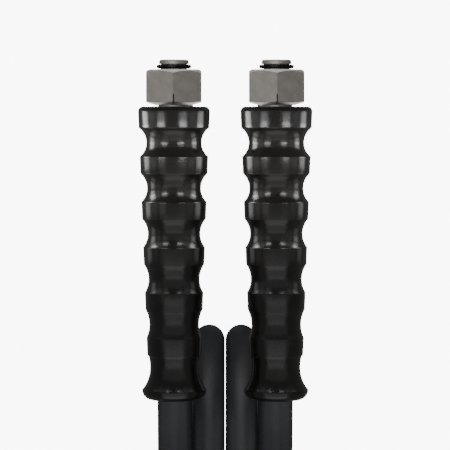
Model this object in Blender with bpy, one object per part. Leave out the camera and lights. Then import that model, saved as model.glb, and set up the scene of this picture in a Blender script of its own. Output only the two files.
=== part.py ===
"""A pressure washer hose, folded in half, looped into a tied hank, with a grip and a swivel nut at each end.

Metres, +Z up. The hank stands on the undersides of its two ties, at z = 0, and both ends point along +Y.
The origin is under the middle of the front tie. Each end is built about its own axis, which runs along +Y
through the middle of the grip's mouth.
"""

import math

import bmesh
import bpy
from mathutils import Vector
from mathutils.geometry import interpolate_bezier

MM = 0.001

# Clearance between pieces that touch, and between the strands of the hank.
GAP = 0.3 * MM

# Hose: outer diameter, number of sides of its plain solids, spacing of a tube's points in diameters.
HOSE_DIAMETER = 16.5 * MM
HOSE_SIDES = 12
LEAD_POINT_SPACING = 2.0
MIDDLE_POINT_SPACING = 2.25

# Hank: radius of its folds, where the outer and inner loops end, and the straight run of the outer loop.
FOLD_RADIUS = 52.0 * MM
OUTER_LOOP_END_Y = 228.5 * MM
INNER_LOOP_END_Y = 103.5 * MM
OUTER_RUN = 351.2 * MM
# Where the lead has come down on to the loop.
LEAD_DOWN_Y = 19.0 * MM
# Stretch along which the lead moves out, beside the outer loop, and the strands below move over.
SHIFT_NEAR_Y = -26.0 * MM
SHIFT_FAR_Y = -124.0 * MM
SHIFT_CLEARANCE = 1.4 * MM
# The two middle strands slope down to the floor and meet in the bight, where the hose was folded in half.
SLOPE_RUN = 160.0 * MM
SLOPE_END_BEHIND_FOLD = 30.0 * MM
BIGHT_RADIUS = 54.0 * MM
BIGHT_FLARE_RADIUS = 68.0 * MM

# Ties: textile straps round the whole hank.
TIE_WIDTH = 20.0 * MM
TIE_THICKNESS = 2.0 * MM
TIE_SLACK = 0.5 * MM
FRONT_TIE_Y = 0.0
BACK_TIE_Y = -154.0 * MM

# Grip: a moulded handle whose rings grow smaller towards the hose, with a flared lip at its end.
GRIP_LENGTH = 144.5 * MM
GRIP_MOUTH_Y = 217.9 * MM
COLLAR_RADIUS = 17.7 * MM
COLLAR_LENGTH = 10.4 * MM
COLLAR_EDGE = 2.4 * MM
RING_COUNT = 5
RING_PITCH = 22.35 * MM
RING_LENGTH = 8.4 * MM
FIRST_RING_START = 24.5 * MM
FIRST_RING_RADIUS = 16.85 * MM
RING_STEP = 0.8 * MM
RING_TAPER = 0.35 * MM
FIRST_WAIST_RADIUS = 13.6 * MM
LAST_WAIST_RADIUS = 11.9 * MM
THROAT_BEHIND_RING = 6.4 * MM
LIP_RADIUS = 15.9 * MM
LIP_ROUNDING = 3.2 * MM
BORE_FLARE = 1.6 * MM
BORE_FLARE_LENGTH = 24.0 * MM
GRIP_SIDES = 28
WAIST_STEPS = 6

# Crimped sleeve over the hose's end.
FERRULE_RADIUS = 9.6 * MM
FERRULE_START = 1.5 * MM
FERRULE_LENGTH = 32.5 * MM
FERRULE_FRONT_WALL = 4.0 * MM

# Nipple: nose, seal groove, cone, flange, neck and tail on one axis, with the waterway through it.
WATERWAY_RADIUS = 3.2 * MM
NOSE_BEYOND_NUT = 4.8 * MM
NOSE_RADIUS = 7.2 * MM
NOSE_CHAMFER = 0.5 * MM
NOSE_LAND_RADIUS = 7.35 * MM
CONE_SMALL_RADIUS = 8.1 * MM
CONE_LARGE_RADIUS = 9.0 * MM
CONE_LENGTH = 4.4 * MM
FLANGE_RADIUS = 9.6 * MM
FLANGE_LENGTH = 3.6 * MM
NECK_RADIUS = 7.8 * MM
TAIL_RADIUS = 4.6 * MM
TAIL_LENGTH = 31.0 * MM
TURNED_SIDES = 24

# Seal ring in the nipple's groove.
SEAL_RADIUS = 8.6 * MM
SEAL_THICKNESS = 1.9 * MM
SEAL_BEHIND_NOSE = 3.4 * MM
SEAL_SECTION_SIDES = 8

# Swivel nut: hexagon across flats, length, and the hollow that takes the mating thread.
NUT_ACROSS_FLATS = 27.0 * MM
NUT_BACK = 0.7 * MM
NUT_LENGTH = 17.5 * MM
NUT_BACK_WALL = 5.3 * MM
NUT_FRONT_FACE_RADIUS = 12.3 * MM
NUT_FRONT_CHAMFER = math.radians(30)
NUT_BACK_FACE_RADIUS = 8.8 * MM
NUT_BACK_CHAMFER = math.radians(15)
NUT_THREAD_RADIUS = 10.25 * MM
NUT_MOUTH_RADIUS = 11.0 * MM
NUT_RUNNING_GAP = 0.35 * MM
NUT_SIDES = 32
# Slit in the nut's upper corner, from the back face.
NUT_SLIT_WIDTH = 0.6 * MM
NUT_SLIT_LENGTH = 5.4 * MM
NUT_SLIT_DEPTH = 4.8 * MM

# Places that follow from the sizes.
HOSE_RADIUS = HOSE_DIAMETER / 2
PITCH = HOSE_DIAMETER + GAP
INNER_X = PITCH / 2
OUTER_X = INNER_X + PITCH
LEAD_X = OUTER_X + PITCH
BOTTOM_Z = TIE_THICKNESS + TIE_SLACK + HOSE_RADIUS
TOP_Z = BOTTOM_Z + 2 * FOLD_RADIUS
LEAD_Z = TOP_Z + PITCH
GRIP_Z = TOP_Z + HOSE_RADIUS + GAP + COLLAR_RADIUS
OUTER_NEAR_Y = OUTER_LOOP_END_Y - HOSE_RADIUS - FOLD_RADIUS
INNER_NEAR_Y = INNER_LOOP_END_Y - HOSE_RADIUS - FOLD_RADIUS
FAR_Y = OUTER_NEAR_Y - OUTER_RUN
LIP_Y = GRIP_MOUTH_Y - GRIP_LENGTH
FERRULE_END = FERRULE_START + FERRULE_LENGTH
HOSE_END_START = FERRULE_START + FERRULE_FRONT_WALL + GAP
HOSE_END_STOP = FERRULE_END + 2 * MM
LEAD_START_Y = GRIP_MOUTH_Y - HOSE_END_STOP - GAP
NUT_FRONT = NUT_BACK + NUT_LENGTH
NUT_CORNER_RADIUS = NUT_ACROSS_FLATS / math.sqrt(3)
NOSE_REACH = NUT_FRONT + NOSE_BEYOND_NUT
SEAL_REACH = NOSE_REACH - SEAL_BEHIND_NOSE
TAIL_STOP = FERRULE_START - GAP + TAIL_LENGTH

SIDES = (("left", -1), ("right", 1))


def clear_scene():
    """Takes out whatever the file holds."""
    for thing in list(bpy.data.objects):
        bpy.data.objects.remove(thing, do_unlink=True)


def material(name, colour, roughness, metallic=0.0):
    """A plain finish."""
    made = bpy.data.materials.new(name)
    made.use_nodes = True
    shader = made.node_tree.nodes["Principled BSDF"]
    shader.inputs["Base Color"].default_value = (*colour, 1.0)
    shader.inputs["Roughness"].default_value = roughness
    shader.inputs["Metallic"].default_value = metallic
    return made


def place(name, data, finish, location=(0, 0, 0)):
    """Makes the object and gives it its finish and place."""
    data.materials.append(finish)
    made = bpy.data.objects.new(name, data)
    made.location = location
    bpy.context.scene.collection.objects.link(made)
    return made


def mesh_from(name, mesh_maker, crease_deg=35):
    """A smooth-shaded mesh with its faces pointing out."""
    bmesh.ops.recalc_face_normals(mesh_maker, faces=mesh_maker.faces)
    mesh = bpy.data.meshes.new(name)
    mesh_maker.to_mesh(mesh)
    mesh_maker.free()
    mesh.shade_smooth()
    mesh.set_sharp_from_angle(angle=math.radians(crease_deg))
    return mesh


def skin_rings(maker, rings, close):
    """Joins rings of vertices with quads, and the last ring to the first if close is set."""
    pairs = list(zip(rings, rings[1:] + rings[:1] if close else rings[1:]))
    for one, other in pairs:
        for i in range(len(one)):
            j = (i + 1) % len(one)
            maker.faces.new((one[i], one[j], other[j], other[i]))


def turned_mesh(name, outline, sides):
    """A ring-shaped solid: the closed outline of (radius, reach) points, turned about the Y axis."""
    maker = bmesh.new()
    rings = []
    for radius, reach in outline:
        ring = []
        for i in range(sides):
            angle = 2 * math.pi * (i + 0.5) / sides
            ring.append(maker.verts.new((radius * math.cos(angle), reach, radius * math.sin(angle))))
        rings.append(ring)
    skin_rings(maker, rings, close=True)
    return mesh_from(name, maker)


def arc(centre_radius, centre_reach, radius, start_deg, stop_deg, steps):
    """Points of a round stretch of an outline, as (radius, reach)."""
    points = []
    for i in range(steps + 1):
        angle = math.radians(start_deg + (stop_deg - start_deg) * i / steps)
        points.append((centre_radius + radius * math.cos(angle), centre_reach + radius * math.sin(angle)))
    return points


def ring_radius(index):
    """Radius of the grip's ring, counted from the one next to the collar."""
    return FIRST_RING_RADIUS - RING_STEP * index


def waist(start, start_radius, stop, stop_radius, low_radius):
    """The hollow between two rings, a circular arc that is down to low_radius at its middle."""
    half = (stop - start) / 2
    depth = (start_radius + stop_radius) / 2 - low_radius
    arc_radius = (half ** 2 + depth ** 2) / (2 * depth)
    widest = math.asin(half / arc_radius)
    points = []
    for i in range(1, WAIST_STEPS + 1):
        angle = widest * (2 * i / (WAIST_STEPS + 1) - 1)
        share = 0.5 + arc_radius * math.sin(angle) / (2 * half)
        dip = arc_radius * math.cos(angle) - (arc_radius - depth)
        level = start_radius + (stop_radius - start_radius) * share
        points.append((level - dip, -(start + (stop - start) * share)))
    return points


def flared_lip(start, start_radius, stop):
    """The last hollow: a quick fall to the throat, then a trumpet out to the lip."""
    points = []
    fall = start_radius - LAST_WAIST_RADIUS
    for i in range(1, 4):
        angle = math.pi / 2 * i / 4
        points.append((start_radius - fall * math.sin(angle), -(start + THROAT_BEHIND_RING * (1 - math.cos(angle)))))
    run = stop - start - THROAT_BEHIND_RING
    rise = LIP_RADIUS - LAST_WAIST_RADIUS
    arc_radius = (run ** 2 + rise ** 2) / (2 * rise)
    for i in range(WAIST_STEPS):
        along = run * i / WAIST_STEPS
        out = arc_radius - math.sqrt(arc_radius ** 2 - along ** 2)
        points.append((LAST_WAIST_RADIUS + out, -(start + THROAT_BEHIND_RING + along)))
    return points


def grip_outline():
    """Outside from mouth to lip, then the bore and the ferrule's pocket back to the mouth."""
    outline = [(COLLAR_RADIUS - COLLAR_EDGE, 0.0)]
    outline += arc(COLLAR_RADIUS - COLLAR_EDGE, -COLLAR_EDGE, COLLAR_EDGE, 60, 0, 2)
    stop = COLLAR_LENGTH
    radius = COLLAR_RADIUS - RING_TAPER
    outline.append((radius, -stop))
    for index in range(RING_COUNT):
        start = FIRST_RING_START + RING_PITCH * index
        low = FIRST_WAIST_RADIUS + (LAST_WAIST_RADIUS - FIRST_WAIST_RADIUS) * index / RING_COUNT
        outline += waist(stop, radius, start, ring_radius(index), low)
        stop = start + RING_LENGTH
        outline.append((ring_radius(index), -start))
        radius = ring_radius(index) - RING_TAPER
        outline.append((radius, -stop))
    lip_centre = GRIP_LENGTH - LIP_ROUNDING
    outline += flared_lip(stop, radius, lip_centre)
    outline += arc(LIP_RADIUS - LIP_ROUNDING, -lip_centre, LIP_ROUNDING, 0, -90, 3)
    pocket = FERRULE_RADIUS + GAP
    bore = HOSE_RADIUS + GAP
    pocket_stop = HOSE_END_STOP + GAP
    outline += [
        (bore + BORE_FLARE, -GRIP_LENGTH),
        (bore, BORE_FLARE_LENGTH - GRIP_LENGTH),
        (bore, -pocket_stop),
        (pocket, -pocket_stop),
        (pocket, 0.0),
    ]
    return outline


def ferrule_outline():
    """Crimped sleeve: front wall round the tail, open to the hose at its back."""
    return [
        (FERRULE_RADIUS, -FERRULE_START),
        (FERRULE_RADIUS, -FERRULE_END),
        (HOSE_RADIUS + GAP, -FERRULE_END),
        (HOSE_RADIUS + GAP, -(FERRULE_START + FERRULE_FRONT_WALL)),
        (TAIL_RADIUS + GAP, -(FERRULE_START + FERRULE_FRONT_WALL)),
        (TAIL_RADIUS + GAP, -FERRULE_START),
    ]


def hose_end_outline():
    """The hose's own wall inside the ferrule, round the nipple's tail."""
    return [
        (HOSE_RADIUS, -HOSE_END_START),
        (HOSE_RADIUS, -HOSE_END_STOP),
        (TAIL_RADIUS + GAP, -HOSE_END_STOP),
        (TAIL_RADIUS + GAP, -HOSE_END_START),
    ]


def nipple_outline():
    """Outside from nose to tail, then back through the waterway."""
    groove_half = SEAL_THICKNESS / 2 + GAP
    groove_radius = SEAL_RADIUS - SEAL_THICKNESS - GAP
    cone_start = SEAL_REACH - groove_half
    flange_back = NUT_BACK + NUT_BACK_WALL + NUT_RUNNING_GAP
    return [
        (NOSE_RADIUS - NOSE_CHAMFER, NOSE_REACH),
        (NOSE_RADIUS, NOSE_REACH - NOSE_CHAMFER),
        (NOSE_LAND_RADIUS, SEAL_REACH + groove_half),
        (groove_radius, SEAL_REACH + groove_half),
        (groove_radius, cone_start),
        (CONE_SMALL_RADIUS, cone_start),
        (CONE_LARGE_RADIUS, cone_start - CONE_LENGTH),
        (FLANGE_RADIUS, flange_back + FLANGE_LENGTH),
        (FLANGE_RADIUS, flange_back),
        (NECK_RADIUS, flange_back),
        (NECK_RADIUS, GAP - FERRULE_START),
        (TAIL_RADIUS, GAP - FERRULE_START),
        (TAIL_RADIUS, -TAIL_STOP),
        (WATERWAY_RADIUS, -TAIL_STOP),
        (WATERWAY_RADIUS, NOSE_REACH),
    ]


def seal_outline():
    """Round section of the seal ring."""
    middle = SEAL_RADIUS - SEAL_THICKNESS / 2
    turn = arc(middle, SEAL_REACH, SEAL_THICKNESS / 2, 0, 360, SEAL_SECTION_SIDES)
    return turn[:-1]


def nut_outline():
    """The nut's turned form: a chamfer at each end, and the hollow for the mating thread."""
    corner = NUT_CORNER_RADIUS + MM
    front_drop = (corner - NUT_FRONT_FACE_RADIUS) * math.tan(NUT_FRONT_CHAMFER)
    back_drop = (corner - NUT_BACK_FACE_RADIUS) * math.tan(NUT_BACK_CHAMFER)
    mouth = NUT_MOUTH_RADIUS - NUT_THREAD_RADIUS
    hole = NECK_RADIUS + NUT_RUNNING_GAP
    return [
        (NUT_FRONT_FACE_RADIUS, NUT_FRONT),
        (corner, NUT_FRONT - front_drop),
        (corner, NUT_BACK + back_drop),
        (NUT_BACK_FACE_RADIUS, NUT_BACK),
        (hole, NUT_BACK),
        (hole, NUT_BACK + NUT_BACK_WALL),
        (NUT_THREAD_RADIUS, NUT_BACK + NUT_BACK_WALL),
        (NUT_THREAD_RADIUS, NUT_FRONT - mouth),
        (NUT_MOUTH_RADIUS, NUT_FRONT),
    ]


def hexagon_mesh(name):
    """The bar that the nut is cut from, longer than the nut, with a corner on top."""
    maker = bmesh.new()
    rings = []
    for reach in (NUT_FRONT + MM, NUT_BACK - MM):
        ring = []
        for i in range(6):
            angle = math.radians(30 + 60 * i)
            ring.append(maker.verts.new((NUT_CORNER_RADIUS * math.cos(angle), reach, NUT_CORNER_RADIUS * math.sin(angle))))
        rings.append(ring)
        maker.faces.new(ring)
    skin_rings(maker, rings, close=False)
    return mesh_from(name, maker)


def slit_mesh(name):
    """A thin block that lies in the nut's upper corner and sticks out of its back."""
    maker = bmesh.new()
    bmesh.ops.create_cube(maker, size=1.0)
    bmesh.ops.scale(maker, vec=(NUT_SLIT_WIDTH, NUT_SLIT_LENGTH + MM, 2 * NUT_SLIT_DEPTH), verts=maker.verts)
    middle = (0, NUT_BACK + (NUT_SLIT_LENGTH - MM) / 2, NUT_CORNER_RADIUS)
    bmesh.ops.translate(maker, vec=middle, verts=maker.verts)
    return mesh_from(name, maker)


def make_nut(side, finish, location):
    """The hexagon bar, cut to the turned form and slit at its upper corner."""
    nut = place("swivel_nut_" + side, hexagon_mesh("swivel_nut_" + side), finish, location)
    form = place("nut_form_" + side, turned_mesh("nut_form_" + side, nut_outline(), NUT_SIDES), finish, location)
    slit = place("nut_slit_" + side, slit_mesh("nut_slit_" + side), finish, location)
    for name, tool, operation in (("turned", form, "INTERSECT"), ("slit", slit, "DIFFERENCE")):
        tool.hide_render = True
        tool.display_type = "WIRE"
        cut = nut.modifiers.new(name, "BOOLEAN")
        cut.operation = operation
        cut.object = tool
    return nut


def make_end(side, sign, finishes):
    """Grip, ferrule, nipple, seal and nut of one end."""
    at = (sign * OUTER_X, GRIP_MOUTH_Y, GRIP_Z)
    place("grip_" + side, turned_mesh("grip_" + side, grip_outline(), GRIP_SIDES), finishes["grip"], at)
    place("ferrule_" + side, turned_mesh("ferrule_" + side, ferrule_outline(), TURNED_SIDES), finishes["steel"], at)
    place("nipple_" + side, turned_mesh("nipple_" + side, nipple_outline(), TURNED_SIDES), finishes["steel"], at)
    place("seal_ring_" + side, turned_mesh("seal_ring_" + side, seal_outline(), TURNED_SIDES), finishes["seal"], at)
    place("hose_end_" + side, turned_mesh("hose_end_" + side, hose_end_outline(), TURNED_SIDES), finishes["hose"], at)
    make_nut(side, finishes["steel"], at)


def fold(x, y, start_deg, stop_deg, steps):
    """Points round a fold of the hank. At 0 degrees the strand is at the end, and at 90 on top."""
    points = []
    for i in range(steps + 1):
        angle = math.radians(start_deg + (stop_deg - start_deg) * i / steps)
        points.append((x, y + FOLD_RADIUS * math.cos(angle), BOTTOM_Z + FOLD_RADIUS * (1 + math.sin(angle))))
    return points


def beside_loop(turn_deg, y):
    """A point of the lead, which lies against the outer loop's top run, on top of it at 90 degrees."""
    angle = math.radians(turn_deg)
    reach = PITCH + SHIFT_CLEARANCE * math.sin(2 * angle)
    return (OUTER_X + reach * math.cos(angle), y, TOP_Z + reach * math.sin(angle))


def lead_route():
    """The right lead: out of the grip, down on to the loop, off to its side, and round the far fold."""
    middle = (SHIFT_NEAR_Y + SHIFT_FAR_Y) / 2
    quarter = (SHIFT_NEAR_Y - SHIFT_FAR_Y) / 4
    exit_drop = LIP_Y - LEAD_DOWN_Y
    route = [
        (OUTER_X, LEAD_START_Y, GRIP_Z),
        (OUTER_X, (LEAD_START_Y + LIP_Y) / 2, GRIP_Z),
        (OUTER_X, LIP_Y, GRIP_Z),
        (OUTER_X, LIP_Y - exit_drop * 0.5, (GRIP_Z + LEAD_Z) / 2),
        (OUTER_X, LEAD_DOWN_Y, LEAD_Z),
        beside_loop(88, SHIFT_NEAR_Y),
        beside_loop(72, middle + quarter),
        beside_loop(45, middle),
        beside_loop(18, middle - quarter),
        beside_loop(2, SHIFT_FAR_Y),
        (LEAD_X, (SHIFT_FAR_Y + FAR_Y) / 2, TOP_Z),
    ]
    route += fold(LEAD_X, FAR_Y, 90, 270, 6)
    route += [
        (LEAD_X, (SHIFT_FAR_Y + FAR_Y) / 2, BOTTOM_Z),
        (LEAD_X, SHIFT_FAR_Y, BOTTOM_Z),
    ]
    return route


def bight_points(start_y, z):
    """Half of the bight on the floor, from its neck to its middle: a flare outwards, then the round end."""
    reach = BIGHT_FLARE_RADIUS + BIGHT_RADIUS
    side = BIGHT_FLARE_RADIUS + INNER_X
    turn = math.acos(side / reach)
    centre_y = start_y - reach * math.sin(turn)
    points = []
    for i in range(1, 3):
        angle = turn * i / 3
        points.append((side - BIGHT_FLARE_RADIUS * math.cos(angle), start_y - BIGHT_FLARE_RADIUS * math.sin(angle), z))
    for i in range(5):
        angle = turn - (turn + math.pi / 2) * i / 4
        points.append((BIGHT_RADIUS * math.cos(angle), centre_y + BIGHT_RADIUS * math.sin(angle), z))
    return points


def middle_route():
    """From the right side's lower strand round the inner fold, down the slope and round the bight to the left."""
    slope_stop = FAR_Y - SLOPE_END_BEHIND_FOLD
    slope_start = slope_stop + SLOPE_RUN
    floor_z = HOSE_RADIUS + GAP
    drop = TOP_Z - floor_z
    half = [(INNER_X, SHIFT_NEAR_Y, BOTTOM_Z), (INNER_X, (SHIFT_NEAR_Y + INNER_NEAR_Y) / 2, BOTTOM_Z)]
    half += fold(INNER_X, INNER_NEAR_Y, -90, 90, 6)
    half += [
        (INNER_X, (INNER_NEAR_Y + slope_start) / 2, TOP_Z),
        (INNER_X, slope_start, TOP_Z),
        (INNER_X, slope_start - SLOPE_RUN * 0.28, TOP_Z - drop * 0.12),
        (INNER_X, slope_start - SLOPE_RUN * 0.5, TOP_Z - drop * 0.5),
        (INNER_X, slope_start - SLOPE_RUN * 0.72, TOP_Z - drop * 0.88),
        (INNER_X, slope_stop, floor_z),
    ]
    half += bight_points(slope_stop, floor_z)
    return half + [(-x, y, z) for x, y, z in reversed(half[:-1])]


def smooth_points(route, spacing):
    """Points about a spacing apart, read from a smooth curve through the route's own points."""
    knots = [Vector(p) for p in route]
    fine = []
    for i in range(len(knots) - 1):
        before = knots[i - 1] if i else knots[i]
        after = knots[i + 2] if i + 2 < len(knots) else knots[i + 1]
        here, there = knots[i], knots[i + 1]
        span = (there - here).length
        leave = (there - before).normalized() * span / 3
        arrive = (after - here).normalized() * span / 3
        fine += interpolate_bezier(here, here + leave, there - arrive, there, 13)[:-1]
    fine.append(knots[-1])
    along = [0.0]
    for one, other in zip(fine, fine[1:]):
        along.append(along[-1] + (other - one).length)
    count = max(2, round(along[-1] / spacing))
    points = []
    at = 0
    for i in range(count + 1):
        want = along[-1] * i / count
        while at < len(along) - 2 and along[at + 1] < want:
            at += 1
        share = (want - along[at]) / max(along[at + 1] - along[at], 1e-9)
        points.append(fine[at].lerp(fine[at + 1], share))
    return points


def make_tube(name, points, finish):
    """A plain length of hose along the points, with flat ends."""
    curve = bpy.data.curves.new(name, "CURVE")
    curve.dimensions = "3D"
    curve.bevel_depth = HOSE_RADIUS
    curve.bevel_resolution = (HOSE_SIDES - 4) // 2
    curve.use_fill_caps = True
    spline = curve.splines.new("POLY")
    spline.points.add(len(points) - 1)
    for point, place_of in zip(spline.points, points):
        point.co = (*place_of, 1.0)
    return place(name, curve, finish)


def make_loop(side, sign, finish):
    """The outer loop of one side as a plain closed ring: two straight runs and two round ends."""
    steps = 8
    middle_line = fold(0, OUTER_NEAR_Y, -90, 90, steps) + fold(0, FAR_Y, 90, 270, steps)
    centre_z = BOTTOM_Z + FOLD_RADIUS
    maker = bmesh.new()
    rings = []
    for _, y, z in middle_line:
        centre_y = min(max(y, FAR_Y), OUTER_NEAR_Y)
        out = Vector((0, y - centre_y, z - centre_z)).normalized()
        ring = []
        for i in range(HOSE_SIDES):
            angle = 2 * math.pi * (i + 0.5) / HOSE_SIDES
            side_step = Vector((HOSE_RADIUS * math.cos(angle), 0, 0))
            ring.append(maker.verts.new(Vector((0, y, z)) + side_step + out * HOSE_RADIUS * math.sin(angle)))
        rings.append(ring)
    skin_rings(maker, rings, close=True)
    return place("hank_loop_" + side, mesh_from("hank_loop_" + side, maker), finish, (sign * OUTER_X, 0, 0))


def rounded_box(half_width, low, high, radius, steps):
    """Corner points of a rounded rectangle in X and Z."""
    points = []
    corners = ((1, high, 0), (-1, high, 90), (-1, low, 180), (1, low, 270))
    for side, level, start_deg in corners:
        centre_x = side * (half_width - radius)
        centre_z = level - radius if level == high else level + radius
        for i in range(steps + 1):
            angle = math.radians(start_deg + 90 * i / steps)
            points.append((centre_x + radius * math.cos(angle), centre_z + radius * math.sin(angle)))
    return points


def make_tie(name, y, outermost_x, top_z, finish):
    """A closed strap round the hank, as wide as the tie, with flat faces above and below."""
    inner_radius = HOSE_RADIUS + TIE_SLACK
    inner = rounded_box(outermost_x + inner_radius, TIE_THICKNESS, top_z + inner_radius, inner_radius, 5)
    outer_half = outermost_x + inner_radius + TIE_THICKNESS
    outer_top = top_z + inner_radius + TIE_THICKNESS
    outer = rounded_box(outer_half, 0.0, outer_top, inner_radius + TIE_THICKNESS, 5)
    maker = bmesh.new()
    rings = []
    for points, reach in ((outer, 0.5), (outer, -0.5), (inner, -0.5), (inner, 0.5)):
        rings.append([maker.verts.new((x, TIE_WIDTH * reach, z)) for x, z in points])
    skin_rings(maker, rings, close=True)
    return place(name, mesh_from(name, maker), finish, (0, y, 0))


def make_hose(finishes):
    """The two leads, the two outer loops and the middle stretch with the bight."""
    lead = smooth_points(lead_route(), LEAD_POINT_SPACING * HOSE_DIAMETER)
    for side, sign in SIDES:
        make_tube("hose_lead_" + side, [(sign * x, y, z) for x, y, z in lead], finishes["hose"])
        make_loop(side, sign, finishes["hose"])
    middle = smooth_points(middle_route(), MIDDLE_POINT_SPACING * HOSE_DIAMETER)
    make_tube("hose_middle", [tuple(p) for p in middle], finishes["hose"])


def main():
    clear_scene()
    finishes = {
        "hose": material("hose rubber", (0.020, 0.021, 0.024), 0.55),
        "grip": material("grip plastic", (0.017, 0.016, 0.015), 0.38),
        "steel": material("plated steel", (0.42, 0.40, 0.37), 0.42, 0.9),
        "seal": material("seal rubber", (0.008, 0.008, 0.008), 0.45),
        "tie": material("tie webbing", (0.02, 0.02, 0.022), 0.85),
    }
    for side, sign in SIDES:
        make_end(side, sign, finishes)
    make_hose(finishes)
    make_tie("front_tie", FRONT_TIE_Y, OUTER_X, LEAD_Z, finishes["tie"])
    make_tie("back_tie", BACK_TIE_Y, LEAD_X, TOP_Z, finishes["tie"])


main()
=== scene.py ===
"""A pressure washer hose, folded in half and tied in a hank, seen from above with both ends in front."""

import logging
import math
from dataclasses import dataclass, field
from enum import Enum
from typing import Iterable, Sequence, Union

import bmesh
import bpy
from mathutils import Matrix, Vector


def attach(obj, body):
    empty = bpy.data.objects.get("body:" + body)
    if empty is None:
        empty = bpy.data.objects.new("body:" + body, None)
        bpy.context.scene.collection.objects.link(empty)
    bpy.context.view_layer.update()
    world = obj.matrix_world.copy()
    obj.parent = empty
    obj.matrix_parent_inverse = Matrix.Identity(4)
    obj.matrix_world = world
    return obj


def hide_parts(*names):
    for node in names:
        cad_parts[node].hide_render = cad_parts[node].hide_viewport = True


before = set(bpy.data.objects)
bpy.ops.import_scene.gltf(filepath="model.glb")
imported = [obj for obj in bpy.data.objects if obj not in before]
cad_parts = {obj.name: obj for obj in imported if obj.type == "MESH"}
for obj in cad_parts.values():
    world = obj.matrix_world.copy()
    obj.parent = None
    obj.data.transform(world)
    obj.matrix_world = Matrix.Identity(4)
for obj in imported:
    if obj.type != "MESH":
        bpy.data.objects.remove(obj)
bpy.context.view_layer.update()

LOG = logging.getLogger("hose_scene")
MM = 0.001
Point = tuple[float, float, float]
Outline = list[tuple[float, float]]
GRIP_MOUTH_Y = 217.9 * MM
BACK_TIE_Y = -154.0 * MM
TIE_LOW = 2.0 * MM
TIE_SLACK = 0.5 * MM
TURNED_SIDES = 72


def turns(count: int) -> list[float]:
    """Evenly spaced angles round a whole turn."""
    return [2 * math.pi * i / count for i in range(count)]


class Side(Enum):
    """The two ends of the hose, with the sign of their X."""

    LEFT = -1
    RIGHT = 1

    @property
    def word(self) -> str:
        """The side's name as the nodes write it."""
        return self.name.lower()


class Slot(Enum):
    """The record's material slots."""

    STEEL = "plated_steel"
    SEAL = "seal_rubber"
    GRIP = "grip_moulding"
    HOSE = "hose_rubber"
    TIE = "tie_webbing"


class Signal:
    """What one socket of a shader node gives, with arithmetic that adds the nodes it needs."""

    def __init__(self, graph: "Graph", socket: bpy.types.NodeSocket) -> None:
        """Keeps the graph and the socket."""
        self.graph = graph
        self.socket = socket

    @property
    def is_wide(self) -> bool:
        """True for a colour or a vector."""
        return self.socket.type in {"RGBA", "VECTOR"}

    def _join(self, operation: str, first: "Term", second: "Term") -> "Signal":
        """The result of a Math node, or of a Vector Math node where a term is a colour or vector."""
        wide = any(isinstance(term, Signal) and term.is_wide for term in (first, second))
        kind = "ShaderNodeVectorMath" if wide else "ShaderNodeMath"
        return self.graph.node(kind, {"operation": operation}, {0: first, 1: second})

    def __add__(self, other: "Term") -> "Signal":
        """self + other."""
        return self._join("ADD", self, other)

    def __radd__(self, other: "Term") -> "Signal":
        """other + self."""
        return self._join("ADD", other, self)

    def __sub__(self, other: "Term") -> "Signal":
        """self - other."""
        return self._join("SUBTRACT", self, other)

    def __mul__(self, other: "Term") -> "Signal":
        """self * other."""
        return self._join("MULTIPLY", self, other)


Term = Union[Signal, float, Sequence[float]]


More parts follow.
